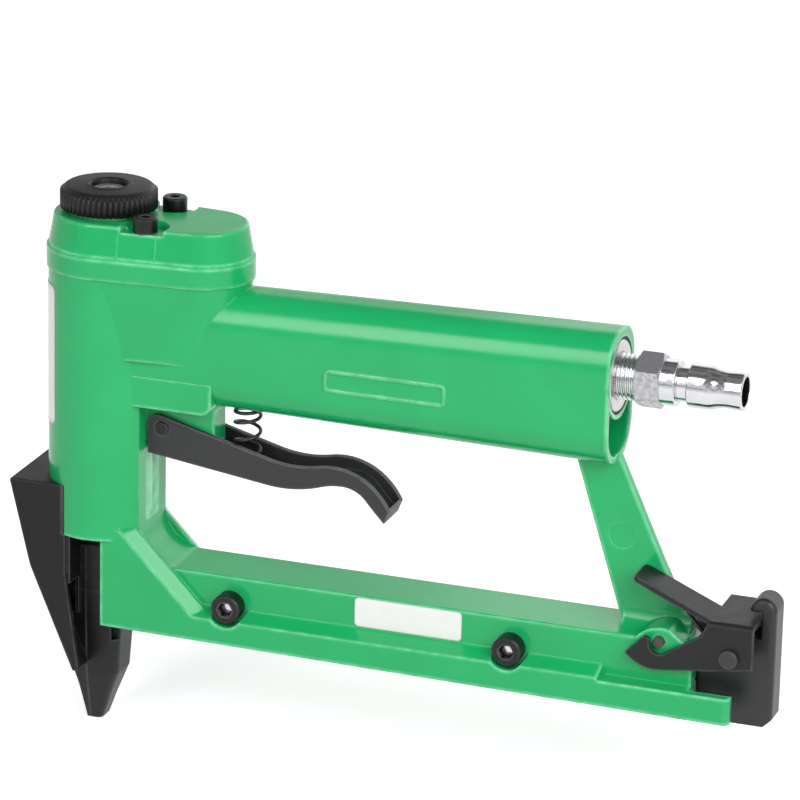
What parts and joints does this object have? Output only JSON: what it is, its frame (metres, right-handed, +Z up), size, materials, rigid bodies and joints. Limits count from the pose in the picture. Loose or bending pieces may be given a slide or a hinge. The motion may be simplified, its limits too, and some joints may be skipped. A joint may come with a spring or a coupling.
{
  "type": "pneumatic frame stapler",
  "caption": "Hand-held air stapler with an upright cylinder, a rear grip with a trigger, a slide-out magazine arm with a latch, a front guard and an air plug",
  "frame": {"origin": "The staple exit, at the middle of the driver's slot in the nose face", "axes": "+X to the rear of the tool along the magazine, +Y across it, +Z up along the driver"},
  "size_m": [0.2232, 0.035, 0.1605],
  "materials": {
    "painted_casting": "green enamel on cast aluminium",
    "black_steel": "black oxide steel",
    "black_plastic": "moulded black nylon",
    "bright_steel": "ground steel",
    "chrome": "plated steel",
    "aluminium": "turned aluminium",
    "brass": "turned brass",
    "rubber": "black nitrile rubber"
  },
  "bodies": {
    "frame": {"body_casting": "painted_casting", "head_cap": "painted_casting", "head_gasket": "rubber", "cap_screws": "black_steel", "deflector_screw": "black_steel", "cylinder_sleeve": "aluminium", "bumper": "rubber", "valve_sleeve": "brass", "valve_spring": "bright_steel", "trigger_pin": "black_steel", "trigger_spring": "black_steel", "inlet_bush": "bright_steel", "inlet_seal": "rubber", "air_plug": "chrome", "nose_guide": "black_steel", "nose_plate": "black_steel", "nose_screws": "black_steel", "front_guard": "black_steel", "side_screws": "black_steel", "channel_liners": "bright_steel", "catch_pin": "black_steel"},
    "deflector": {"exhaust_deflector": "black_plastic"},
    "driver": {"piston": "aluminium", "piston_ring": "rubber", "driver_blade": "bright_steel", "driver_pin": "bright_steel"},
    "trigger": {"trigger_lever": "black_steel"},
    "valve": {"valve_spool": "brass", "spool_rings": "rubber"},
    "magazine": {"staple_rail": "bright_steel", "end_block": "black_plastic", "feed_rod": "bright_steel", "feed_spring": "bright_steel", "latch_pin": "black_steel", "latch_leaf": "bright_steel"},
    "pusher": {"pusher": "bright_steel"},
    "latch": {"latch_lever": "black_steel"}
  },
  "joints": [
    {"name": "trigger_pull", "type": "hinge", "parent": "frame", "child": "trigger", "pos_m": [0.022, 0, 0.0921], "axis": [0, -1, 0], "range_deg": [0, 9], "stiffness_Nm_per_rad": 1.2, "springref_deg": -11.46, "deforming": ["trigger_spring"]},
    {"name": "valve_lift", "type": "slide", "parent": "frame", "child": "valve", "axis": [0, 0, 1], "range_m": [0, 0.0016], "deforming": ["valve_spring"]},
    {"name": "driver_stroke", "type": "slide", "parent": "frame", "child": "driver", "axis": [0, 0, -1], "range_m": [0, 0.052]},
    {"name": "deflector_turn", "type": "hinge", "parent": "frame", "child": "deflector", "pos_m": [0.0032, 0, 0.157], "axis": [0, 0, 1], "continuous": true},
    {"name": "magazine_slide", "type": "slide", "parent": "frame", "child": "magazine", "axis": [1, 0, 0], "range_m": [0, 0.12]},
    {"name": "pusher_feed", "type": "slide", "parent": "magazine", "child": "pusher", "axis": [1, 0, 0], "range_m": [0, 0.11], "deforming": ["feed_spring"]},
    {"name": "latch_press", "type": "hinge", "parent": "magazine", "child": "latch", "pos_m": [0.1916, 0, 0.0506], "axis": [0, -1, 0], "range_deg": [0, 9], "stiffness_Nm_per_rad": 0.6, "springref_deg": -11.46, "deforming": ["latch_leaf"]}
  ],
  "couplings": [
    {"joint": "valve_lift", "follows": "trigger_pull", "m_per_rad": 0.0096}
  ]
}
